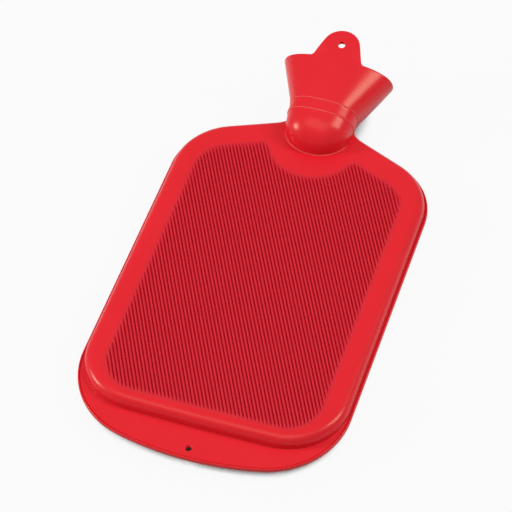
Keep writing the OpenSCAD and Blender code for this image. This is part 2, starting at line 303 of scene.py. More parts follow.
def drill(thing, cutter):
    """Cuts a closed shape, just lofted and still in edit mode, out of a piece."""
    done()
    modify(thing, "BOOLEAN", operation="DIFFERENCE", object=cutter, solver="EXACT")
    bpy.data.objects.remove(cutter)


# from the middle of the panel outwards: sunk under the ribs, flat, rolled down, bead, flange, rim
flat_edge = panel_ring(PANEL_EDGE)
under_ribs = [field_edge(p) for p in flat_edge]
sunk = [(field_centre[0] + (x - field_centre[0]) * SUNK_SHARE,
         field_centre[1] + (u - field_centre[1]) * SUNK_SHARE) for x, u in under_ribs]
foot, rim = panel_ring(-FOOT_OUT), flange_ring(RIM_WIDTH)
levels = [(sunk, PANEL_TOP - SUNK_DEEP), (under_ribs, PANEL_TOP),
          (between(under_ribs, flat_edge, 0.5), PANEL_TOP)]
for k in range(13):
    a = math.pi / 2 * k / 12.2          # the roll stops just short of upright
    levels.append((panel_ring(PANEL_EDGE * (1 - math.sin(a) ** ROLL)),
                   FLANGE_TOP + ROLL_LIFT + (PANEL_TOP - FLANGE_TOP - ROLL_LIFT) * math.cos(a) ** ROLL))
levels += [(panel_ring(-out), FLANGE_TOP + up) for out, up in FOOT_BEAD]
levels += [(foot, FLANGE_TOP), (between(foot, rim, 0.5), FLANGE_TOP), (rim, FLANGE_TOP)]
levels += [(flange_ring(inset), RIM_TOP - depth) for inset, depth in RIM]
panel_rings = [[lay(x, u, -z) for x, u in ring] for ring, z in levels]
panel_rings += [[lay(x, u, z) for x, u in ring] for ring, z in reversed(levels)]
panels = loft("bottle_panels", panel_rings)
done()

# the hole in the bottom flange: a bobbin, flared at both faces, rounds the edges of the hole
bobbin = [(FLANGE_HOLE + 0.9, -FLANGE_TOP - 1), (FLANGE_HOLE + 0.45, -FLANGE_TOP),
          (FLANGE_HOLE + 0.12, 0.25 - FLANGE_TOP), (FLANGE_HOLE, 0.5 - FLANGE_TOP)]
bobbin += [(r, -z) for r, z in reversed(bobbin)]
hole_angles = [2 * math.pi * k / 32 for k in range(32)]
drill(panels, loft("hole_cutter", [[lay(r * math.cos(t), FLANGE_HOLE_AT + r * math.sin(t), z)
                                    for t in hole_angles] for r, z in bobbin]))
edit(panels)
done()

# Red natural rubber, pressed in a polished mould: an even deep red with a satin shine that stays low,
# because the skin is a little powdery, a faint cloudiness and a very fine grain of about 0.7 mm.
rubber, tree = new_material("moulded_red_rubber")
spot = node(tree, "ShaderNodeTexCoord")
cloud = node(tree, "ShaderNodeTexNoise", [(spot.outputs["Object"], "Vector")], Scale=28, Detail=3)
tone = node(tree, "ShaderNodeMix", [(cloud.outputs["Fac"], "Factor")], data_type="RGBA")
tone.inputs[6].default_value = linear("#db1d2a")
tone.inputs[7].default_value = linear("#e3212f")
gloss = node(tree, "ShaderNodeMapRange", [(cloud.outputs["Fac"], "Value")], To_Min=0.24, To_Max=0.32)
grain = node(tree, "ShaderNodeTexNoise", [(spot.outputs["Object"], "Vector")], Scale=1400, Detail=2)
skin = node(tree, "ShaderNodeBump", [(grain.outputs["Fac"], "Height")], Strength=0.05, Distance=0.00005)
shine = node(tree, "ShaderNodeBsdfPrincipled", [(tone.outputs[2], "Base Color"),
                                                (gloss.outputs[0], "Roughness"),
                                                (skin.outputs[0], "Normal")],
             IOR=1.52, Specular_IOR_Level=0.3, Specular_Tint=(1, 0.9, 0.65, 1))
node(tree, "ShaderNodeOutputMaterial", [(shine.outputs[0], "Surface")])


def finish(piece, material, body, stands_for):
    """Gives a piece its material, its body and the solid that it stands for."""
    piece.data.materials.clear()
    piece.data.materials.append(material)
    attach(piece, body)
    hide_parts(stands_for)


finish(panels, rubber, "bottle", "bottle_body")

# Ribbed fields: slanting round ribs with sharp grooves between them, one field on each panel, moulded
# in one with it. The grooves run out in the smooth border. Each field leans the same way, seen from
# its own side.
PITCH, LEAN = 2.56, math.radians(27.5)
CREST, GROOVE = 11.1, 1.6               # height of a crest over the seam, and depth of a groove
FADE = 4.2                              # length over which a groove runs out
ROWS = 44                               # places along a rib
PAST = 0.7                              # how far the field goes past its outline
LIFT, DIP, BEHIND = 0.012, 0.06, 0.0015 # over the panel, into it at the outline, and to the field's back
# place across a rib, in shares of the pitch from its crest, and how far down its flank that is
FLANK = ((0, 0), (0.09, 0.014), (0.16, 0.055), (0.22, 0.13), (0.3, 0.5), (0.39, 0.9), (0.5, 1), (0.61, 0.9),
         (0.7, 0.5), (0.78, 0.13), (0.84, 0.055), (0.91, 0.014))
SHADED_MATT_FROM, SHADED_MATT_TO, SHADED_MATT_BELOW = 0.24, 0.76, PANEL_TOP - 0.15    # the part of a groove that is matt and painted darker: painted shade

# Rubber from the part of the mould that is not polished: the ribs come out of it satin, and their colour
# is painted a little deeper red than the panel's, as painted shade over the ribbed field.
satin_and_shaded_rubber, tree = new_material("satin_red_rubber_of_the_ribs_painted_darker")
spot = node(tree, "ShaderNodeTexCoord")
cloud = node(tree, "ShaderNodeTexNoise", [(spot.outputs["Object"], "Vector")], Scale=28, Detail=3)
tone = node(tree, "ShaderNodeMix", [(cloud.outputs["Fac"], "Factor")], data_type="RGBA")
# a darker copy of the panel's red: painted shade of the ribbed field
tone.inputs[6].default_value = linear("#cc2030")
tone.inputs[7].default_value = linear("#d42434")
grain = node(tree, "ShaderNodeTexNoise", [(spot.outputs["Object"], "Vector")], Scale=1400, Detail=2)
skin = node(tree, "ShaderNodeBump", [(grain.outputs["Fac"], "Height")], Strength=0.08, Distance=0.00005)
shine = node(tree, "ShaderNodeBsdfPrincipled", [(tone.outputs[2], "Base Color"),
                                                (skin.outputs[0], "Normal")],
             IOR=1.52, Roughness=0.42, Specular_IOR_Level=0.3, Specular_Tint=(1, 0.9, 0.7, 1))
node(tree, "ShaderNodeOutputMaterial", [(shine.outputs[0], "Surface")])

# The same rubber down in the grooves, where the mould is roughest: matt, with a grain of about 1 mm, and
# painted deepest in colour as painted shade down in the grooves.
matt_and_shaded_rubber, tree = new_material("matt_red_rubber_with_painted_groove_shade")
spot = node(tree, "ShaderNodeTexCoord")
grain = node(tree, "ShaderNodeTexNoise", [(spot.outputs["Object"], "Vector")], Scale=900, Detail=3)
tone = node(tree, "ShaderNodeMix", [(grain.outputs["Fac"], "Factor")], data_type="RGBA")
tone.inputs[6].default_value = linear("#bc1426")
tone.inputs[7].default_value = linear("#ca1b2c")
skin = node(tree, "ShaderNodeBump", [(grain.outputs["Fac"], "Height")], Strength=0.1, Distance=0.00005)
shine = node(tree, "ShaderNodeBsdfPrincipled", [(tone.outputs[2], "Base Color"),
                                                (skin.outputs[0], "Normal")],
             IOR=1.52, Roughness=0.7, Specular_IOR_Level=0.05)
node(tree, "ShaderNodeOutputMaterial", [(shine.outputs[0], "Surface")])


def ribbed_field(name, side):
    """A grid laid along the ribs, cut to the field and pressed into ribs. Side is 1, or -1 for the back."""
    across = np.array((math.cos(LEAN), math.sin(LEAN)))
    along = np.array((-math.sin(LEAN), math.cos(LEAN)))
    outline = field - field_centre
    s, t = outline @ across, outline @ along
    low, high = s.min() + 0.2, s.max() - 0.2
    per_rib = len(FLANK)
    first, last = math.ceil(low / PITCH * per_rib), math.floor(high / PITCH * per_rib)
    bpy.ops.object.select_all(action="DESELECT")
    bpy.ops.mesh.primitive_grid_add(x_subdivisions=last - first, y_subdivisions=ROWS)
    ribs = bpy.context.object
    ribs.name = name
    places = np.zeros(len(ribs.data.vertices) * 3)
    ribs.data.vertices.foreach_get("co", places)
    places = places.reshape(-1, 3)
    columns = np.rint((places[:, 0] + 1) / 2 * (last - first)).astype(int) + first
    rows = (places[:, 1] + 1) / 2
    step, down = np.array(FLANK).T
    sideways = (np.floor(columns / per_rib) + step[columns % per_rib]) * PITCH

    # each column runs from the field's lower outline to its upper one, with its places closer at the ends
    s_next, t_next = np.roll(s, -1), np.roll(t, -1)
    ends = []
    for value in np.unique(sideways):
        value_in = min(max(value, low), high)
        hit = ((s - value_in) * (s_next - value_in) <= 0) & (abs(s_next - s) > 1e-9)
        cut = t[hit] + (value_in - s[hit]) / (s_next[hit] - s[hit]) * (t_next[hit] - t[hit])
        ends.append((value, cut.min(), cut.max()))
    ends = np.array(ends)
    start = np.interp(sideways, ends[:, 0], ends[:, 1]) - PAST
    stop = np.interp(sideways, ends[:, 0], ends[:, 2]) + PAST
    lengthways = start + (stop - start) * (1 - np.cos(math.pi * rows)) / 2
    flat = sideways[:, None] * across + lengthways[:, None] * along

    # the ribs run out near the outline, and past it the edge dips just into the panel
    gap = np.full(len(flat), 1e9)
    for corner, edge in zip(outline, np.roll(outline, -1, axis=0) - outline):
        w = np.clip(((flat - corner) @ edge) / (edge @ edge), 0, 1)
        gap = np.minimum(gap, np.hypot(*(flat - corner - w[:, None] * edge).T))
    outside = (rows < 1e-6) | (rows > 1 - 1e-6)
    share = np.clip((gap - 0.3) / FADE, 0, 1)
    share = np.where(outside, 0, share * share * (3 - 2 * share))
    height = PANEL_TOP + LIFT + (CREST - PANEL_TOP - GROOVE * down[columns % per_rib]) * share
    height = np.where(outside, PANEL_TOP - DIP, height)
    flat = flat + field_centre
    places[:, 0] = side * flat[:, 0] / 1000
    places[:, 1] = (flat[:, 1] - LENGTH / 2) / 1000
    places[:, 2] = (MIDDLE + side * height) / 1000
    ribs.data.vertices.foreach_set("co", places.ravel())
    ribs.data.update()

    # the field is closed behind, inside the panel
    edit(ribs)
    bpy.ops.mesh.select_all(action="DESELECT")
    bpy.ops.mesh.select_non_manifold()
    bpy.ops.mesh.extrude_edges_move(TRANSFORM_OT_translate={"value": (0, 0, -side * BEHIND)})
    bpy.ops.mesh.edge_face_add()
    done(180)
    finish(ribs, satin_and_shaded_rubber, "bottle", "bottle_body")
    ribs.data.materials.append(matt_and_shaded_rubber)
    # faces in the middle of each groove, below the crests, get the darker matt rubber: painted shade in the
    # grooves
    for face in ribs.data.polygons:
        x = side * face.center.x * 1000 - field_centre[0]
        u = face.center.y * 1000 + LENGTH / 2 - field_centre[1]
        place = (x * across[0] + u * across[1]) / PITCH % 1
        if SHADED_MATT_FROM < place < SHADED_MATT_TO and side * (face.center.z * 1000 - MIDDLE) < SHADED_MATT_BELOW:
            face.material_index = 1


ribbed_field("ribs_front", 1)
ribbed_field("ribs_back", -1)

# Neck and funnel: one thick rubber moulding that leans up from the seam. A half dome runs into the
# shoulders, two fine rings go round the neck, and the funnel widens above them to a rounded rim.
TILT, NECK_ROOT = math.radians(12), 239.0
DOME_TOP, DOME_REACH = 68.3, 22         # where the dome ends along the neck's axis, and its length
FLARE_AT, MOUTH, MOUTH_HALF = 84.9, 121.5, 43.75      # where the funnel starts and ends, and half its width
DOME_HALF, FLARE_HALF, NECK_DEEP = 25.3, 27.1, 20.5   # half widths, and half the depth
NECK_AT = (DOME_TOP, 72.6, 74.3, 82.6, FLARE_AT)      # places along the neck, and its half widths there
NECK_HALF = (DOME_HALF, 25.8, 26.1, 26.7, FLARE_HALF)
NECK_WAIST = 20.3                       # half the depth at the second of these places
RINGS_AT, RING_HIGH, RING_WIDE = (74.6, 83.9), 0.4, 0.36
SQUARE_DOME, SQUARE_NECK = 2.4, 2.6     # squareness of the sections: 2 is an ellipse, more is squarer
SQUARE_FRONT, SQUARE_BACK = 2.3, 1.75   # the same at the mouth
WIDEST = -3.5                           # height of the mouth's widest line over the neck's axis
# half depth of the mouth's back, whose rim reaches down to just over the table
BACK = (MIDDLE + (MOUTH - 3) * math.sin(TILT) - 0.3) / math.cos(TILT) + WIDEST
FUNNEL_WALL = 0.0026
STEEP = math.radians(60)                # edges sharper than this are rounded


def neck_place(x, v, z):
    """Millimetres along and across the neck's axis, to metres in the row frame."""
    return lay(x, NECK_ROOT + v * math.cos(TILT) - z * math.sin(TILT),
               v * math.sin(TILT) + z * math.cos(TILT))


def neck_section(v):
    """Half width, front, back, centre height and the two squarenesses of the section at v."""
    if v < DOME_TOP:
        s = math.sqrt(max(0, 1 - ((DOME_TOP - v) / DOME_REACH) ** 2))
        return DOME_HALF * s, NECK_DEEP * s, NECK_DEEP * s, 0, SQUARE_DOME, SQUARE_DOME
    if v < FLARE_AT:
        a = np.interp(v, NECK_AT, NECK_HALF)
        b = np.interp(v, (DOME_TOP, NECK_AT[1], FLARE_AT), (NECK_DEEP, NECK_WAIST, NECK_DEEP))
        bump = sum(RING_HIGH * math.exp(-((v - r) / RING_WIDE) ** 4) for r in RINGS_AT)
        n = np.interp(v, (DOME_TOP, 74), (SQUARE_DOME, SQUARE_NECK))
        return a + bump, b + bump, b + bump, 0, n, n
    t = min((v - FLARE_AT) / (MOUTH - FLARE_AT), 1)
    s = t ** 0.95
    return (FLARE_HALF + (MOUTH_HALF - FLARE_HALF) * t, NECK_DEEP - WIDEST * s,
            NECK_DEEP + (BACK - NECK_DEEP) * s, WIDEST * s, SQUARE_NECK + (SQUARE_FRONT - SQUARE_NECK) * t,
            SQUARE_NECK + (SQUARE_BACK - SQUARE_NECK) * t)


def neck_ring(v, angles, shrink=0):
    """The section at v, drawn in by shrink. Its front and back halves each have their own shape."""
    a, f, b, c, n, m = neck_section(v)
    ring = []
    for t in angles:
        p = 2 / (n if math.sin(t) >= 0 else m)
        x = (a - shrink) * math.copysign(abs(math.cos(t)) ** p, math.cos(t))
        z = c + ((f if math.sin(t) >= 0 else b) - shrink) * math.copysign(
            abs(math.sin(t)) ** p, math.sin(t))
        ring.append(neck_place(x, v, z))
    return ring


def give_wall(shell, points_out, thickness, rounding):
    """Turns an open shell's faces outwards, and gives it a wall with rounded edges."""
    bpy.ops.mesh.select_all(action="SELECT")
    bpy.ops.mesh.normals_make_consistent(inside=False)
    mesh = bmesh.from_edit_mesh(shell.data)
    if sum(points_out(face) for face in mesh.faces) < 0:
        bpy.ops.mesh.flip_normals()
    bpy.ops.object.mode_set(mode="OBJECT")
    modify(shell, "SOLIDIFY", thickness=thickness, offset=-1)
    modify(shell, "BEVEL", width=rounding, segments=3, limit_method="ANGLE", angle_limit=STEEP)
    edit(shell)
    done()


# sections: close together on the dome and at the rings, and even up the flare
funnel_angles = [2 * math.pi * (k + 0.5) / 144 for k in range(144)]
funnel_at = [DOME_TOP - DOME_REACH * math.cos(math.radians(a)) for a in
             (4, 9, 14, 20, 26, 32, 38, 44, 50, 56, 62, 68, 74, 80, 85, 90)]
funnel_at += [69.5, 70.8, 72, 73.2]
ring_steps = (-0.65, -0.45, -0.33, -0.24, -0.12, 0, 0.12, 0.24, 0.33, 0.45, 0.65)
funnel_at += [RINGS_AT[0] + step for step in ring_steps] + [76, 77.5, 79, 80.5, 82]
funnel_at += [RINGS_AT[1] + step for step in ring_steps]
funnel_at += [FLARE_AT + (MOUTH - FLARE_AT) * k / 24 for k in range(25)]
funnel = loft("neck_and_funnel", [neck_ring(v, funnel_angles) for v in funnel_at], cap_last=False)
give_wall(funnel, lambda face: face.normal.x * face.calc_center_median().x, FUNNEL_WALL, 0.0009)
finish(funnel, rubber, "bottle", "bottle_body")

# Pale rubber for thin lines: a paler red with a torn grain of about 2 mm, painted on the crest of each
# ring as a painted highlight line.
pale_highlight_rubber, tree = new_material("red_rubber_painted_pale_for_highlight_lines")
spot = node(tree, "ShaderNodeTexCoord")
torn = node(tree, "ShaderNodeTexNoise", [(spot.outputs["Object"], "Vector")], Scale=500, Detail=3)
tone = node(tree, "ShaderNodeMix", [(torn.outputs["Fac"], "Factor")], data_type="RGBA")
tone.inputs[6].default_value = linear("#e23c40")
tone.inputs[7].default_value = linear("#ee6a60")
skin = node(tree, "ShaderNodeBump", [(torn.outputs["Fac"], "Height")], Strength=0.2, Distance=0.00005)
shine = node(tree, "ShaderNodeBsdfPrincipled", [(tone.outputs[2], "Base Color"),
                                                (skin.outputs[0], "Normal")],
             IOR=1.52, Roughness=0.55, Specular_IOR_Level=0.22)
node(tree, "ShaderNodeOutputMaterial", [(shine.outputs[0], "Surface")])
funnel.data.materials.append(pale_highlight_rubber)
# faces on the crest of each ring get the paler rubber: a painted highlight line round the ring
for face in funnel.data.polygons:
    v = ((face.center.y * 1000 + LENGTH / 2 - NECK_ROOT) * math.cos(TILT)
         + (face.center.z * 1000 - MIDDLE) * math.sin(TILT))
    if min(abs(v - r) for r in RINGS_AT) < 0.3:
        face.material_index = 1

# Funnel floor: the rubber round the bush, with a seat level with the bush's top and a ledge under its
# foot. It is moulded in one with the neck.
SEAT, BUSH_RADIUS, BUSH_FOOT, PASSAGE = 84.5, 17.0, 68.5, 14.5
ROOM = 0.02                             # between the rubber and the bush
round_angles = [2 * math.pi * k / 96 for k in range(96)]


def round_ring(radius, v):
    return [neck_place(radius * math.sin(t), v, radius * math.cos(t)) for t in round_angles]


def inner_ring(v, shrink):
    """A ring inside the funnel's wall that keeps the order of the round rings."""
    return neck_ring(v, [math.pi / 2 - t for t in round_angles], shrink)


# up the bush's side, out over the floor into the wall, down inside the wall, and in to the ledge
floor_ring = loft("funnel_floor", [
    round_ring(BUSH_RADIUS + ROOM, SEAT - 0.3), round_ring(BUSH_RADIUS + 0.3, SEAT),
    inner_ring(SEAT + 0.7, 2.8), inner_ring(SEAT + 1.3, 2.2), inner_ring(SEAT + 1.2, 1.2),
    inner_ring(80, 1.2), inner_ring(69, 1.2),
    round_ring(16, BUSH_FOOT - 0.5), round_ring(PASSAGE, BUSH_FOOT - 0.5),
    round_ring(PASSAGE, BUSH_FOOT - ROOM), round_ring(BUSH_RADIUS + ROOM, BUSH_FOOT - ROOM),
    round_ring(BUSH_RADIUS + ROOM, SEAT - 0.3)], cap_first=False, cap_last=False, joined=True)
done()
finish(floor_ring, rubber, "bottle", "bottle_body")

# the bag is open where the funnel and the passage below the bush go through its neck
drill(panels, loft("mouth_hollow", [neck_ring(v, funnel_angles, 1.3) for v in (83.8, 85, 88, 92, 96, 100)]))
drill(panels, loft("passage_hollow", [round_ring(r, v) for r, v in
                                      ((4, 48), (9, 50.5), (12.5, 54), (14.2, 58), (PASSAGE, 62),
                                       (PASSAGE, 84.2))]))
edit(panels)
done()

# Dome's foot: a thin bead runs along the line where the dome grows out of the flat panel, left by the joint
# of the mould's core. It is painted paler, a painted highlight along that line.
BEAD, BEAD_OUT = 0.45, 0.25             # radius, and how far its middle lies outside the line
BEAD_TOP, BEAD_STEPS = 63.5, 30         # where it ends, and its steps on each side


def dome_foot(v):
    """Half width and height, from the neck's axis, of the dome's line on the panel at v."""
    a, f, b, c, n, m = neck_section(v)
    z = (PANEL_TOP - v * math.sin(TILT)) / math.cos(TILT)
    reach = 1 - min(abs(z) / (f if z > 0 else b), 1) ** n
    return a * reach ** (1 / n), z


# the lowest place where the dome stands over the panel is found by halving
below, above = 46.5, 60.0
while above - below > 1e-4:
    middle = (below + above) / 2
    below, above = (middle, above) if dome_foot(middle)[0] == 0 else (below, middle)
foot_line = []
for k in range(BEAD_STEPS + 1):
    v = above + (BEAD_TOP - above) * (k / BEAD_STEPS) ** 2
    x, z = dome_foot(v)
    foot_line.append((x, v, z))
foot_line = [(-x, v, z) for x, v, z in foot_line[:0:-1]] + foot_line
bead_rings = []
for k, (x, v, z) in enumerate(foot_line):
    before, after = foot_line[max(k - 1, 0)], foot_line[min(k + 1, len(foot_line) - 1)]
    dx, dv = after[0] - before[0], after[1] - before[1]
    size = math.hypot(dx, dv)
    thick = BEAD * min(1, 0.15 + min(k, len(foot_line) - 1 - k) / 6)
    bead_rings.append([neck_place(x + (BEAD_OUT + thick * math.cos(p)) * dv / size,
                                  v - (BEAD_OUT + thick * math.cos(p)) * dx / size,
                                  z + thick * math.sin(p)) for p in [math.pi * j / 5 for j in range(10)]])
bead = loft("dome_foot_bead", bead_rings)
done()
# the bead gets the paler rubber: a painted highlight along the dome's foot
finish(bead, pale_highlight_rubber, "bottle", "bottle_body")

# Hanging tab: the front wall of the funnel goes on past the rim as a flat rubber tongue with a round
# end and a hole for a hook. It is moulded in one with the funnel, so its foot shows no joint.
TAB_RADIUS, TAB_HOLE, TAB_THICK = 14.5, 2.8, 3.0
TAB_HOLE_AT, TAB_FLARE = 12.7, math.radians(20)        # from the tip, and the lean of the straight sides
TAB_FLATTENS = 12                       # length over which the mouth's curve turns flat
FOOT_FROM, FOOT_PROUD, FOOT_SINKS = 120.5, 0.03, 0.06  # where the foot starts, over the wall and into it
EDGE_FROM, EDGE_DIPS = 120.6, 0.7       # the same for its edge, which dips into the wall out of sight
tab_tip = (LENGTH - NECK_ROOT + (NECK_DEEP - TAB_THICK) * math.sin(TILT)) / math.cos(TILT)
tab_centre, hole_at = tab_tip - TAB_RADIUS, tab_tip - TAB_HOLE_AT


def smooth(share):
    """0 to 1 with a soft start and end."""
    share = min(max(share, 0), 1)
    return share * share * (3 - 2 * share)


def tab_outline():
    """Outline from the tip down to the foot, which lies on the funnel's wall, and up again."""
    half = [(TAB_RADIUS * math.sin(math.radians(a)), tab_centre + TAB_RADIUS * math.cos(math.radians(a)))
            for a in range(0, 71, 5)]
    half += [((TAB_RADIUS - (v - tab_centre) * math.sin(TAB_FLARE)) / math.cos(TAB_FLARE), v)
             for v in (135, 132.6, 130.2, 127.8, 125.6, 124, 122.8)]
    half += [(19.5, 122.2), (20.2, 121.7), (21, 121.2), (21.3, 120.4)]
    half += [(21, 119), (19.5, 117), (17, 115.6), (14, 115), (10, 115), (5, 115), (0, 115)]
    return whole(half)


def tab_place(x, v, at_edge):
    """A place on the tab's front. Its foot lies on the funnel and its lowest edge dips into the wall."""
    front = WIDEST + (NECK_DEEP - WIDEST) * (1 - abs(x / MOUTH_HALF) ** SQUARE_FRONT) ** (1 / SQUARE_FRONT)
    z = front + (NECK_DEEP - 0.15 - front) * smooth((v - MOUTH) / TAB_FLATTENS)
    if v < MOUTH:
        a, f, b, c, n, m = neck_section(v)
        z = c + f * (1 - abs(x / a) ** n) ** (1 / n)
    z += FOOT_PROUD - FOOT_SINKS * min(max((FOOT_FROM - v) / 4, 0), 1)
    if at_edge:
        z -= EDGE_DIPS * smooth((EDGE_FROM - v) / 1.5)
    return neck_place(x, v, z)


tab_line = tab_outline()
hole_line = []
for x, v in tab_line:
    d = math.hypot(x, v - hole_at)
    hole_line.append((x / d * TAB_HOLE, hole_at + (v - hole_at) / d * TAB_HOLE))
tab_shares = (0, 0.1, 0.22, 0.36, 0.5, 0.62, 0.74, 0.84, 0.92, 1)
tab = loft("hanging_tab", [[tab_place(x, v, s == 1) for x, v in between(hole_line, tab_line, s)]
                           for s in tab_shares], cap_first=False, cap_last=False)
give_wall(tab, lambda face: face.normal.z, TAB_THICK / 1000, 0.0007)
finish(tab, rubber, "bottle", "bottle_body")

# Threaded bush: a turned brass sleeve that the rubber is moulded round, with grooves for it to grip.
# It takes the stopper's right-hand thread, cut deep and round so that it is quick to screw.
THREAD, THREAD_ROOT, THREAD_CREST, THREAD_ROOM = 4.0, 9.3, 10.3, 0.12    # pitch, two radii and a gap
TOOTH_ROUND, TOOTH_STEEP, RUN_OUT = 1.9, 5.2, 1.2     # the tooth's shape, and the length of its ends
BORE, SLEEVE_GROOVE = 10.9, 0.35        # radius of the sleeve's mouth, and depth of its outer grooves
TURN_STEP = 0.25                        # rings of the thread lie this far apart


def thread_ring(v, room, start=0, end=1000):
    """One ring of a thread's surface. The thread rises from its root at start and is gone at end."""
    ring = []
    for t in round_angles:
        turn = (v / THREAD - t / (2 * math.pi)) % 1
        tooth = smooth(TOOTH_ROUND - abs(turn - 0.5) * TOOTH_STEEP)
        tooth *= smooth((v - start) / RUN_OUT) * smooth((end - v) / RUN_OUT)
        radius = THREAD_ROOT + (THREAD_CREST - THREAD_ROOT) * tooth + room
        ring.append(neck_place(radius * math.sin(t), v, radius * math.cos(t)))
    return ring


bush_rings = [round_ring(BORE, BUSH_FOOT), round_ring(BUSH_RADIUS - 0.4, BUSH_FOOT),
              round_ring(BUSH_RADIUS, BUSH_FOOT + 0.4)]
for v in range(70, 84, 2):
    bush_rings += [round_ring(BUSH_RADIUS, v), round_ring(BUSH_RADIUS, v + 0.6),
                   round_ring(BUSH_RADIUS - SLEEVE_GROOVE, v + 0.8),
                   round_ring(BUSH_RADIUS - SLEEVE_GROOVE, v + 1.4)]
bush_rings += [round_ring(BUSH_RADIUS, 83.8), round_ring(BUSH_RADIUS, SEAT - 0.2),
               round_ring(BUSH_RADIUS - 0.2, SEAT), round_ring(11.4, SEAT), round_ring(BORE, SEAT - 0.35)]
turns_up = int((SEAT - BUSH_FOOT - 1.2) / TURN_STEP)
bush_rings += [thread_ring(BUSH_FOOT + 0.6 + k * TURN_STEP, THREAD_ROOM) for k in range(turns_up, -1, -1)]
bush_rings += [round_ring(BORE, BUSH_FOOT)]
bush = loft("threaded_bush", bush_rings, cap_first=False, cap_last=False, joined=True)
done(40)

# Turned brass, not polished: yellow metal with fine turning rings about 0.35 mm apart, and duller
# patches of about 6 mm from the water.
brass, tree = new_material("turned_brass")
spot = node(tree, "ShaderNodeTexCoord")
# the rings go round the neck's axis, so the pattern is turned to lie along it
lean = node(tree, "ShaderNodeMapping", [(spot.outputs["Object"], "Vector")])
lean.inputs["Rotation"].default_value = (-TILT, 0, 0)
turning = node(tree, "ShaderNodeTexWave", [(lean.outputs[0], "Vector")], wave_type="BANDS",
               bands_direction="Y", Scale=900, Distortion=1.5, Detail=2)
dull = node(tree, "ShaderNodeTexNoise", [(spot.outputs["Object"], "Vector")], Scale=160, Detail=4)
tone = node(tree, "ShaderNodeMix", [(dull.outputs["Fac"], "Factor")], data_type="RGBA")
tone.inputs[6].default_value = linear("#dcb464")
tone.inputs[7].default_value = linear("#b98d43")
worn = node(tree, "ShaderNodeMapRange", [(dull.outputs["Fac"], "Value")], To_Min=0.22, To_Max=0.42)
skin = node(tree, "ShaderNodeBump", [(turning.outputs["Fac"], "Height")], Strength=0.3, Distance=0.00004)
shine = node(tree, "ShaderNodeBsdfPrincipled", [(tone.outputs[2], "Base Color"),
                                                (worn.outputs[0], "Roughness"),
                                                (skin.outputs[0], "Normal")], Metallic=1.0)
node(tree, "ShaderNodeOutputMaterial", [(shine.outputs[0], "Surface")])
finish(bush, brass, "bottle", "neck_bush")

# Sealing washer: a flat ring of dark rubber, cut from sheet and pushed over the stopper's shank. The
# stopper's head squeezes it on the brass seat, which leaves a shallow groove in its lower face.
WASHER_IN, WASHER_OUT, WASHER_FOOT, WASHER_TOP = 10.85, 14.0, 84.55, 86.95
washer = loft("sealing_washer", [round_ring(radius, v) for radius, v in (
    (WASHER_IN, WASHER_FOOT + 0.35), (WASHER_IN + 0.1, WASHER_FOOT + 0.1), (WASHER_IN + 0.35, WASHER_FOOT),
    (12, WASHER_FOOT + 0.02), (12.3, WASHER_FOOT + 0.15), (12.9, WASHER_FOOT + 0.15),
    (13.2, WASHER_FOOT + 0.02), (WASHER_OUT - 0.4, WASHER_FOOT), (WASHER_OUT - 0.12, WASHER_FOOT + 0.12),
    (WASHER_OUT, WASHER_FOOT + 0.4), (WASHER_OUT, WASHER_TOP - 0.4), (WASHER_OUT - 0.12, WASHER_TOP - 0.12),
    (WASHER_OUT - 0.4, WASHER_TOP), (WASHER_IN + 0.35, WASHER_TOP), (WASHER_IN + 0.1, WASHER_TOP - 0.1),
    (WASHER_IN, WASHER_TOP - 0.35), (WASHER_IN, WASHER_FOOT + 0.35))],
    cap_first=False, cap_last=False, joined=True)
done(40)

# Black nitrile sheet: matt, with a dusty bloom in patches of about 3 mm that hides the pores of its cut.
seal_sheet, tree = new_material("cut_black_rubber_sheet")
spot = node(tree, "ShaderNodeTexCoord")
dust = node(tree, "ShaderNodeTexNoise", [(spot.outputs["Object"], "Vector")], Scale=350, Detail=4)
tone = node(tree, "ShaderNodeMix", [(dust.outputs["Fac"], "Factor")], data_type="RGBA")
tone.inputs[6].default_value = linear("#1c1c1d")
tone.inputs[7].default_value = linear("#333234")
skin = node(tree, "ShaderNodeBump", [(dust.outputs["Fac"], "Height")], Strength=0.25, Distance=0.00008)
shine = node(tree, "ShaderNodeBsdfPrincipled", [(tone.outputs[2], "Base Color"),
                                                (skin.outputs[0], "Normal")], IOR=1.52, Roughness=0.75)
node(tree, "ShaderNodeOutputMaterial", [(shine.outputs[0], "Surface")])
finish(washer, seal_sheet, "seal", "stopper_washer")

# Screw stopper: one moulding of hard black plastic, a threaded plug under a round head with a milled
# edge, and on it a flat tongue for two fingers, with a shallow hollow on each face for the grip.
PLUG_FOOT, PLUG_SHANK, HEAD_FOOT, HEAD_TOP, HEAD_RADIUS = 71.05, 10.4, 87.0, 91.6, 15.2
PLUG_THREAD = (71.9, 84.3)              # where the thread starts and ends
FLUTES, FLUTE_DEEP = 48, 0.4

plug_rings = [round_ring(r, PLUG_FOOT + up) for r, up in
              ((1, 0.8), (6.4, 0.8), (6.8, 0.7), (7, 0.4), (7.2, 0), (8.3, 0), (8.9, 0.35),
               (THREAD_ROOT, 0.9))]
plug_rings += [thread_ring(72.0 + k * TURN_STEP, 0, *PLUG_THREAD) for k in range(49)]
plug_rings += [round_ring(10.2, 84.35), round_ring(PLUG_SHANK, 84.6),
               round_ring(PLUG_SHANK, HEAD_FOOT + 0.6), round_ring(4, HEAD_FOOT + 0.7)]
plug = loft("stopper_plug", plug_rings)
done(40)


def milled_ring(radius, v, deep):
    """A ring round the head with flutes of a depth."""
    ring = []
    for k in range(FLUTES * 6):
        t = 2 * math.pi * k / (FLUTES * 6)
        r = radius - deep * abs(math.sin(FLUTES * t / 2)) ** 1.5
        ring.append(neck_place(r * math.sin(t), v, r * math.cos(t)))
    return ring


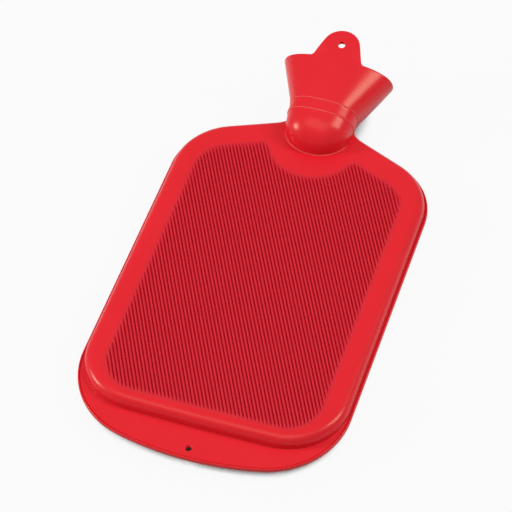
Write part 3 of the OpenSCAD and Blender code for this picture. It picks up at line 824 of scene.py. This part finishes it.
head = loft("stopper_head", [milled_ring(r, v, deep) for r, v, deep in (
    (6, HEAD_FOOT + 0.2, 0), (10.9, HEAD_FOOT + 0.2, 0), (11.2, HEAD_FOOT, 0),
    (HEAD_RADIUS - 0.7, HEAD_FOOT, 0), (HEAD_RADIUS - 0.2, HEAD_FOOT + 0.2, 0.1),
    (HEAD_RADIUS, HEAD_FOOT + 0.6, FLUTE_DEEP), (HEAD_RADIUS, HEAD_TOP - 1.2, FLUTE_DEEP),
    (HEAD_RADIUS - 0.15, HEAD_TOP - 0.7, 0.2), (HEAD_RADIUS - 0.45, HEAD_TOP - 0.3, 0),
    (HEAD_RADIUS - 1.0, HEAD_TOP - 0.08, 0), (HEAD_RADIUS - 1.6, HEAD_TOP, 0), (10.5, HEAD_TOP, 0),
    (9.9, HEAD_TOP - 0.25, 0), (5, HEAD_TOP - 0.3, 0))])
done(40)

# the tongue: wide flat rings stacked up the axis, each a rounded bar that follows the bowed top
GRIP_WIDTH, GRIP_HIGH, GRIP_THICK, GRIP_THIN, GRIP_ROUND = 25.0, 17.5, 6.0, 4.6, 0.35
GRIP_FOOT, TOP_BOW = HEAD_TOP - 0.6, 20.0
DIMPLE, DIMPLE_AT, DIMPLE_WIDE, DIMPLE_HIGH = 0.8, HEAD_TOP + 8.5, 10, 6.8    # deep, middle, half sizes


def grip_ring(share):
    """A rounded bar across the head at a share of the tongue's height, lower at its ends."""
    ring = []
    for k in range(80):
        t = 2 * math.pi * (k + 0.5) / 80
        x = GRIP_WIDTH / 2 * math.copysign(abs(math.sin(t)) ** GRIP_ROUND, math.sin(t))
        top = HEAD_TOP + GRIP_HIGH - (TOP_BOW - math.sqrt(TOP_BOW ** 2 - x * x))
        v = GRIP_FOOT + (top - GRIP_FOOT) * share
        thick = GRIP_THICK + (GRIP_THIN - GRIP_THICK) * (v - HEAD_TOP) / GRIP_HIGH
        z = thick / 2 * math.copysign(abs(math.cos(t)) ** GRIP_ROUND, math.cos(t))
        hollow = max(0, 1 - (x / DIMPLE_WIDE) ** 2 - ((v - DIMPLE_AT) / DIMPLE_HIGH) ** 2)
        z -= math.copysign(DIMPLE * smooth(hollow * 1.6), z)
        ring.append((x, v, z))
    return ring


# its top edge is rounded: two rings stay a little low, and the next ones come in over the top
grip_rings = [grip_ring(k / 22) for k in range(22)]
grip_top = grip_ring(1)
grip_rings.append([(x, v - 0.55, z) for x, v, z in grip_top])
grip_rings.append([(x, v - 0.22, z * 0.97) for x, v, z in grip_top])
for inwards in (0.3, 0.8, 1.5, 2.1):
    grip_rings.append([(x * (1 - inwards / (GRIP_WIDTH / 2)), v, z * (1 - inwards / (GRIP_THIN / 2)))
                       for x, v, z in grip_top])
grip = loft("stopper_grip", [[neck_place(*place) for place in ring] for ring in grip_rings])
done(50)

# Hard black moulded plastic: a deep gloss with faint flow marks about 17 mm long, dulled by fingers in
# specks of about 1 mm.
moulded, tree = new_material("moulded_black_plastic")
spot = node(tree, "ShaderNodeTexCoord")
flow = node(tree, "ShaderNodeTexNoise", [(spot.outputs["Object"], "Vector")], Scale=60, Detail=3,
            Distortion=0.6)
tone = node(tree, "ShaderNodeMix", [(flow.outputs["Fac"], "Factor")], data_type="RGBA")
tone.inputs[6].default_value = linear("#1b1b1e")
tone.inputs[7].default_value = linear("#28282c")
rub = node(tree, "ShaderNodeTexNoise", [(spot.outputs["Object"], "Vector")], Scale=900, Detail=5)
worn = node(tree, "ShaderNodeMapRange", [(rub.outputs["Fac"], "Value")], To_Min=0.16, To_Max=0.34)
skin = node(tree, "ShaderNodeBump", [(rub.outputs["Fac"], "Height")], Strength=0.08, Distance=0.00005)
shine = node(tree, "ShaderNodeBsdfPrincipled", [(tone.outputs[2], "Base Color"),
                                                (worn.outputs[0], "Roughness"),
                                                (skin.outputs[0], "Normal")], IOR=1.49)
node(tree, "ShaderNodeOutputMaterial", [(shine.outputs[0], "Surface")])
for piece in (plug, head, grip):
    finish(piece, moulded, "plug", "stopper")
